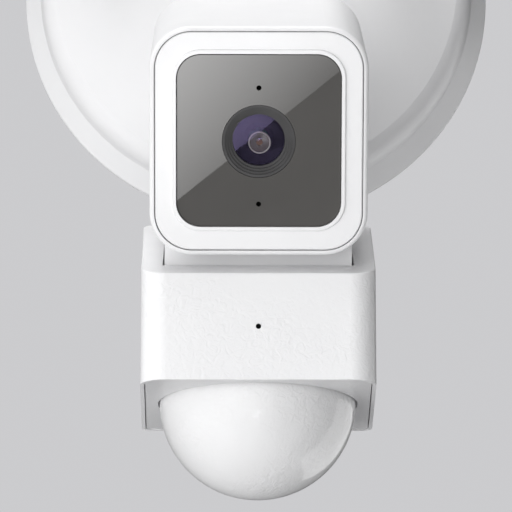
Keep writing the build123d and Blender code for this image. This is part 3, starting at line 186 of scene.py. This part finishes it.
def moulded_white(name, tone, roughness, grain_depth, coat=0.0):
    """Moulded plastic: a fine spark-eroded grain over a very slight waviness."""
    surface = Surface(name, tone, roughness, Coat_Weight=coat, Coat_Roughness=0.12)
    surface.vary_colour(size_mm=30, amount=0.012, tint=SHADOW_TINT)
    surface.vary_roughness(size_mm=6, amount=0.05)
    surface.grain(size_mm=4.5, depth_mm=0.05, detail=3)
    return surface.grain(size_mm=0.35, depth_mm=grain_depth).material


def white_plastic():
    return moulded_white("white_plastic", (0.85, 0.85, 0.855), 0.38, 0.006)


def rippled_white(name, tone, depth_mm):
    """The sensor housing's mouldings, with more orange peel than the other pieces."""
    surface = Surface(name, (tone, tone, tone + 0.005), 0.34)
    surface.vary_colour(size_mm=30, amount=0.012, tint=SHADOW_TINT)
    surface.vary_roughness(size_mm=6, amount=0.05)
    surface.ripple(size_mm=1.8, depth_mm=depth_mm, patch_mm=26)
    return surface.grain(size_mm=0.35, depth_mm=0.006).material


def white_gloss():
    return moulded_white("white_gloss", (0.87, 0.87, 0.875), 0.22, 0.002, coat=0.4)


def white_metal():
    """Powder coat: orange-peel dimples on cast aluminium."""
    surface = Surface("white_metal", (0.78, 0.78, 0.785), 0.42)
    surface.vary_colour(size_mm=18, amount=0.02)
    surface.vary_roughness(size_mm=3, amount=0.06)
    surface.grain(size_mm=1.1, depth_mm=0.045, detail=1)
    return surface.grain(size_mm=0.25, depth_mm=0.008).material


def grey_plastic():
    surface = Surface("grey_plastic", (0.5, 0.5, 0.51), 0.5)
    surface.vary_colour(size_mm=12, amount=0.02)
    surface.vary_roughness(size_mm=4, amount=0.05)
    return surface.grain(size_mm=0.3, depth_mm=0.012).material


def dome_plastic():
    """Milky polyethylene: light goes a little way in, and the mould left a faint ripple."""
    surface = Surface(
        "dome_plastic",
        (0.89, 0.89, 0.895),
        0.4,
        Subsurface_Weight=0.25,
        Subsurface_Radius=(0.004, 0.004, 0.004),
        Subsurface_Scale=1.0,
        Coat_Weight=0.6,
        Coat_Roughness=0.07,
    )
    surface.vary_colour(size_mm=25, amount=0.01)
    surface.vary_roughness(size_mm=5, amount=0.05)
    surface.ripple(size_mm=1.8, depth_mm=0.25, patch_mm=22)
    return surface.grain(size_mm=0.4, depth_mm=0.004).material


def frosted_lens():
    surface = Surface("frosted_lens", (0.93, 0.93, 0.92), 0.32, Transmission_Weight=0.5, IOR=1.49)
    surface.vary_colour(size_mm=20, amount=0.02)
    surface.vary_roughness(size_mm=5, amount=0.05)
    return surface.grain(size_mm=1.5, depth_mm=0.08, detail=1).material


def black_glass():
    surface = Surface("black_glass", (0.080, 0.077, 0.073), 0.008, IOR=1.52)
    surface.vary_colour(size_mm=20, amount=0.05)
    surface.vary_roughness(size_mm=9, amount=0.004)
    return surface.grain(size_mm=14, depth_mm=0.0004, detail=1).material


def lens_glass():
    """Coated front element: clear, with a violet sheen from its coating."""
    violet = (0.62, 0.52, 1.0, 1)
    surface = Surface(
        "lens_glass", (0.95, 0.93, 1.0), 0.0, Transmission_Weight=1.0, IOR=1.5, Specular_Tint=violet
    )
    surface.vary_colour(size_mm=4, amount=0.02)
    surface.grain(size_mm=6, depth_mm=0.0002)
    return surface.clear_to_lamps().material


def dark_plastic(name, tone, roughness=0.4, specular=0.5):
    surface = Surface(name, tone, roughness, Specular_IOR_Level=specular)
    surface.vary_colour(size_mm=6, amount=0.15)
    surface.vary_roughness(size_mm=3, amount=0.06)
    return surface.grain(size_mm=0.2, depth_mm=0.006).material


def turned_steel(name, tone, roughness):
    """Steel with fine directional machining marks and a few duller patches."""
    surface = Surface(name, tone, roughness, Metallic=1.0)
    surface.vary_colour(size_mm=3, amount=0.06)
    surface.vary_roughness(size_mm=2, amount=0.08)
    waves = surface.nodes.new("ShaderNodeTexWave")
    waves.inputs["Scale"].default_value = 2200
    waves.inputs["Distortion"].default_value = 3
    surface.links.new(surface.place.outputs["Object"], waves.inputs["Vector"])
    return surface.bump(waves.outputs["Fac"], depth_mm=0.004).material


def painted_green():
    surface = Surface("green_screw", (0.04, 0.28, 0.08), 0.4)
    surface.vary_colour(size_mm=2, amount=0.15)
    surface.vary_roughness(size_mm=1.5, amount=0.08)
    return surface.grain(size_mm=0.3, depth_mm=0.01).material


def moulded_rubber(name, tone):
    surface = Surface(name, tone, 0.7)
    surface.vary_colour(size_mm=5, amount=0.12)
    surface.vary_roughness(size_mm=3, amount=0.08)
    return surface.grain(size_mm=0.25, depth_mm=0.02).material


def circuit_board():
    """Solder mask over copper tracks."""
    surface = Surface("circuit_board", (0.012, 0.12, 0.04), 0.3)
    surface.vary_roughness(size_mm=4, amount=0.05)
    tracks = surface.nodes.new("ShaderNodeTexBrick")
    tracks.inputs["Scale"].default_value = 260
    tracks.inputs["Color1"].default_value = (0.010, 0.10, 0.035, 1)
    tracks.inputs["Color2"].default_value = (0.014, 0.14, 0.05, 1)
    tracks.inputs["Mortar"].default_value = (0.03, 0.22, 0.09, 1)
    surface.links.new(surface.place.outputs["Object"], tracks.inputs["Vector"])
    surface.links.new(tracks.outputs["Color"], surface.shader.inputs["Base Color"])
    return surface.bump(tracks.outputs["Fac"], depth_mm=0.03).material


def led_board():
    surface = Surface("led_board", (0.72, 0.72, 0.7), 0.35)
    surface.vary_colour(size_mm=8, amount=0.03)
    surface.vary_roughness(size_mm=4, amount=0.05)
    return surface.grain(size_mm=0.5, depth_mm=0.01).material


def led_phosphor():
    surface = Surface("led", (0.85, 0.62, 0.12), 0.3)
    surface.vary_colour(size_mm=0.8, amount=0.1)
    surface.vary_roughness(size_mm=1, amount=0.05)
    return surface.grain(size_mm=0.2, depth_mm=0.01).material


MATERIALS = {
    "white_plastic": white_plastic(),
    "rippled_white": rippled_white("rippled_white", tone=0.84, depth_mm=0.22),
    # the base plate under the sensor gets a greyer tone than the other mouldings: painted shade on its
    # downward-facing side
    "plate_painted_shade": rippled_white("plate_painted_shade", tone=0.74, depth_mm=0.15),
    "white_gloss": white_gloss(),
    "white_metal": white_metal(),
    "grey_plastic": grey_plastic(),
    "dome_plastic": dome_plastic(),
    "frosted_lens": frosted_lens(),
    "black_glass": black_glass(),
    "lens_glass": lens_glass(),
    "black_plastic": dark_plastic("black_plastic", (0.012, 0.012, 0.013)),
    "black_board": dark_plastic("black_board", (0.002, 0.002, 0.002), 0.5, 0.05),
    "trim_plastic": dark_plastic("trim_plastic", (0.066, 0.065, 0.066), 0.4, 0.3),
    "lens_cells": dark_plastic("lens_cells", (0.085, 0.062, 0.045), 0.22),
    "lens_amber": dark_plastic("lens_amber", (0.30, 0.16, 0.08), 0.08),
    "lens_silver": dark_plastic("lens_silver", (0.72, 0.69, 0.66), 0.25),
    "steel": turned_steel("steel", (0.5, 0.5, 0.51), 0.35),
    "screw_steel": turned_steel("screw_steel", (0.6, 0.6, 0.61), 0.28),
    "green_screw": painted_green(),
    "nickel_can": turned_steel("nickel_can", (0.66, 0.64, 0.6), 0.2),
    "rubber": moulded_rubber("rubber", (0.02, 0.02, 0.02)),
    "grey_rubber": moulded_rubber("grey_rubber", (0.3, 0.3, 0.31)),
    "circuit_board": circuit_board(),
    "led_board": led_board(),
    "led": led_phosphor(),
}


OWN_FINISH_AND_SHADE = {
    "lens_trim_ring": "trim_plastic",
    "lens_barrel": "black_board",
    "lens_iris": "black_board",
    "daylight_sensor": "black_board",
    # the plate's greyer white is painted shade on the sensor's downward-facing underside
    "sensor_base_plate": "plate_painted_shade",
}


def finish_nodes():
    """Every CAD node gets the finished material of its slot, or one of its own; the base plate's own is
    a greyer white that paints shade.
    """
    for part in frame["record"]["subparts"]:
        mesh = frame["nodes"][part["node"]].data
        mesh.materials.clear()
        mesh.materials.append(MATERIALS[OWN_FINISH_AND_SHADE.get(part["node"], part["material_slot"])])


# ---------------------------------------------------------------- inside the lens

LENS_OUT = joint_axis("sync_button_press")     # the button on the back is pressed along the lens's axis
LENS_UP = ACROSS.cross(-LENS_OUT)
LENS_DROP = 0.0011            # the inner elements show a little low in the barrel
LENS_RIGHT = 0.0002
TURNS = 96
WIRE_TURNS = 24
BULGE_STEPS = 10
SAME_PLACE = 1e-7
SHARP_EDGE = radians(35)


def revolved(name, outline, finish):
    """A piece turned about the lens's axis from (radius, depth) points in millimetres.

    Depth is measured inwards from the middle of the iris plate.
    """
    middle = centre_of("lens_iris") - LENS_UP * LENS_DROP + ACROSS * LENS_RIGHT
    mesh = bmesh.new()
    rings = []
    for radius, depth in outline:
        ring = []
        for i in range(TURNS):
            turn = 2 * pi * i / TURNS
            outwards = ACROSS * cos(turn) + LENS_UP * sin(turn)
            ring.append(mesh.verts.new(middle + outwards * radius / 1000 - LENS_OUT * depth / 1000))
        rings.append(ring)
    for near, far in zip(rings, rings[1:] + rings[:1]):
        for i in range(TURNS):
            j = (i + 1) % TURNS
            mesh.faces.new((near[i], near[j], far[j], far[i]))
    bmesh.ops.remove_doubles(mesh, verts=mesh.verts, dist=SAME_PLACE)
    bmesh.ops.recalc_face_normals(mesh, faces=mesh.faces)
    data = bpy.data.meshes.new(name)
    mesh.to_mesh(data)
    mesh.free()
    data.shade_smooth()
    data.set_sharp_from_angle(angle=SHARP_EDGE)
    data.materials.append(MATERIALS[finish])
    piece = bpy.data.objects.new(name, data)
    scene.collection.objects.link(piece)
    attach(piece, "camera")


RING_R = 2.42
RING_WIRE = 0.17
RING_DEPTH = -0.95
CELL_RIDGES = ((2.2, -0.75), (1.7, -0.7), (1.2, -0.65), (0.75, -0.65))
CELL_GROOVES = ((2.0, -0.9), (1.5, -0.85), (1.0, -0.8))
CELL_STEPS = sorted(CELL_RIDGES + CELL_GROOVES, reverse=True)      # outermost first
CELL_BACK = -0.6
BULGE_MIDDLE = 0.25           # the inner element's rim, behind the last cell
BULGE = 0.3


def make_lens_inside():
    """The bright retaining ring, the stepped cells behind it and the small inner element."""
    angles = [2 * pi * i / WIRE_TURNS for i in range(WIRE_TURNS)]
    wire = [(RING_R + RING_WIRE * cos(a), RING_DEPTH + RING_WIRE * sin(a)) for a in angles]
    revolved("lens_retaining_ring", wire, "lens_silver")
    cells = [(CELL_STEPS[0][0], CELL_BACK)]
    for (outer, depth), (inner, deeper) in zip(CELL_STEPS, CELL_STEPS[1:]):
        cells += [(outer, depth), (inner, depth), (inner, deeper)]
    cells.append((CELL_STEPS[-1][0], CELL_BACK))
    revolved("lens_cells", cells, "lens_cells")
    edge_r, edge_depth = CELL_STEPS[-1]
    rim_depth = edge_depth + BULGE_MIDDLE
    angles = [pi / 2 * i / BULGE_STEPS for i in range(BULGE_STEPS + 1)]
    bulge = [(edge_r * sin(a), rim_depth - BULGE * cos(a)) for a in angles]
    revolved("lens_inner_element", bulge + [(0.0, rim_depth)], "lens_amber")


# ---------------------------------------------------------------- studio

FLOOR_LEVEL = -1.15
FLOOR_HALF = 12.0
AIM = (0, -0.09, -0.05)       # the square lights all point here

# Name, place, side and watts. Soft lights brighten the object but don't show in its polished pieces.
SOFT_LIGHTS = (
    ("key", (-0.45, -1.2, -0.5), 1.3, 7.5),
    ("left", (-1.4, -0.35, -0.1), 0.8, 1.2),
    ("under", (-1.1, -0.4, -0.85), 0.8, 5.6),
)
TOP_LIGHT = ("top", (-0.2, -0.48, 1.3), 0.8, 14.0)
FILL_LIGHT = ("fill", (-0.35, -1.9, -0.05), 2.1, 10.0)

PANEL_PLACE = (0.75, 0.82, -0.5)
PANEL_SIZE = (1.4, 1.2)
PANEL_WATTS = 9

CARD_AWAY = 0.6               # the card's distance from the glass
CARD_SLANT = radians(38.6)
CARD_EDGE_ABOVE = 0.0099      # its edge passes this far above the middle of the glass
CARD_SIZE = (0.11, 0.05)
CARD_WATTS = 0.0321
CARD_START = 1.85             # its strength at the corner the slope starts from
CARD_SLOPE = (-1.3, 3.6, 0)   # how the card's light changes along it and away from its edge

AIR_DIRECTION = Vector((-0.75, -0.65, 0.1)).normalized()
AIR_DARK, AIR_LIGHT = 0.03, 0.5
AIR_COLOUR = (1.0, 1.0, 1.01, 1)
BACKDROP = (0.60, 0.60, 0.615, 1)


def area_light(name, place, aim, size, watts):
    data = bpy.data.lights.new(name, "AREA")
    data.shape = "RECTANGLE"
    data.size, data.size_y = size
    data.energy = watts
    light = bpy.data.objects.new(name, data)
    light.location = place
    light.rotation_euler = (Vector(aim) - Vector(place)).to_track_quat("-Z", "Y").to_euler()
    light.visible_camera = False
    scene.collection.objects.link(light)
    return light


def square_light(name, place, side, watts):
    return area_light(name, place, AIM, (side, side), watts)


def make_floor():
    mesh = bpy.data.meshes.new("studio_floor")
    sides = [(-1, -1), (1, -1), (1, 1), (-1, 1)]
    corners = [(x * FLOOR_HALF, y * FLOOR_HALF, FLOOR_LEVEL) for x, y in sides]
    mesh.from_pydata(corners, [], [(0, 1, 2, 3)])
    surface = Surface("studio_floor", (0.6, 0.6, 0.605), 0.8)
    surface.vary_colour(size_mm=600, amount=0.02)
    mesh.materials.append(surface.grain(size_mm=40, depth_mm=0.2).material)
    floor = bpy.data.objects.new("studio_floor", mesh)
    scene.collection.objects.link(floor)


def make_lights():
    for soft_light in SOFT_LIGHTS:
        light = square_light(*soft_light)
        light.visible_glossy = False
        light.visible_transmission = False
    square_light(*TOP_LIGHT)
    square_light(*FILL_LIGHT).visible_transmission = False
    edge_panel()
    glass_card()


def edge_panel():
    """An upright panel behind the right side: it only draws thin bright edges along shiny pieces."""
    beside_it = (0, *PANEL_PLACE[1:])
    panel = area_light("edge_panel", PANEL_PLACE, beside_it, PANEL_SIZE, PANEL_WATTS)
    panel.visible_diffuse = False


def glass_card():
    """A card that only shows in reflections; its straight edge crosses the front glass at a slant."""
    glass = centre_of("front_glass")
    away = LOOK.reflect(LENS_OUT)
    upward = away.cross(ACROSS)
    if upward.z < 0:
        upward = -upward
    spread = 1 + CARD_AWAY / VIEW_DISTANCE
    along = ACROSS * cos(CARD_SLANT) + upward * sin(CARD_SLANT)
    square = upward * cos(CARD_SLANT) - ACROSS * sin(CARD_SLANT)
    edge_point = glass + away * CARD_AWAY + upward * CARD_EDGE_ABOVE * spread
    card = area_light("glass_card", edge_point + square * CARD_SIZE[1] / 2, glass, CARD_SIZE, CARD_WATTS)
    facing = Matrix((along, square, along.cross(square))).transposed()
    card.rotation_euler = facing.to_euler()
    card.visible_diffuse = False
    fade_across(card.data)


def fade_across(light):
    """The card is dimmer along the edge that shows, and brighter away from it and to its left."""
    light.use_nodes = True
    nodes, links = light.node_tree.nodes, light.node_tree.links
    place = nodes.new("ShaderNodeNewGeometry")
    slope = nodes.new("ShaderNodeVectorMath")
    slope.operation = "DOT_PRODUCT"
    slope.inputs[1].default_value = CARD_SLOPE
    level = nodes.new("ShaderNodeMath")
    level.inputs[1].default_value = CARD_START
    links.new(place.outputs["Parametric"], slope.inputs[0])
    links.new(slope.outputs["Value"], level.inputs[0])
    links.new(level.outputs["Value"], nodes["Emission"].inputs["Strength"])


def studio_air():
    """Soft light from all round, stronger from the front left; the backdrop is even and pale."""
    world = bpy.data.worlds.new("studio_air")
    scene.world = world
    world.use_nodes = True
    nodes, links = world.node_tree.nodes, world.node_tree.links
    light = nodes["Background"]
    light.inputs["Color"].default_value = AIR_COLOUR
    place = nodes.new("ShaderNodeTexCoord")
    side = nodes.new("ShaderNodeVectorMath")
    side.operation = "DOT_PRODUCT"
    side.inputs[1].default_value = AIR_DIRECTION
    level = nodes.new("ShaderNodeMapRange")
    level.inputs["From Min"].default_value = -1
    level.inputs["To Min"].default_value = AIR_DARK
    level.inputs["To Max"].default_value = AIR_LIGHT
    links.new(place.outputs["Generated"], side.inputs[0])
    links.new(side.outputs["Value"], level.inputs["Value"])
    links.new(level.outputs["Result"], light.inputs["Strength"])
    pale = nodes.new("ShaderNodeBackground")
    pale.inputs["Color"].default_value = BACKDROP
    way = nodes.new("ShaderNodeLightPath")
    mix = nodes.new("ShaderNodeMixShader")
    links.new(way.outputs["Is Camera Ray"], mix.inputs[0])
    links.new(light.outputs["Background"], mix.inputs[1])
    links.new(pale.outputs["Background"], mix.inputs[2])
    links.new(mix.outputs["Shader"], nodes["World Output"].inputs["Surface"])
    scene.view_settings.view_transform = "Standard"


make_camera()
finish_nodes()
make_lens_inside()
make_floor()
make_lights()
studio_air()
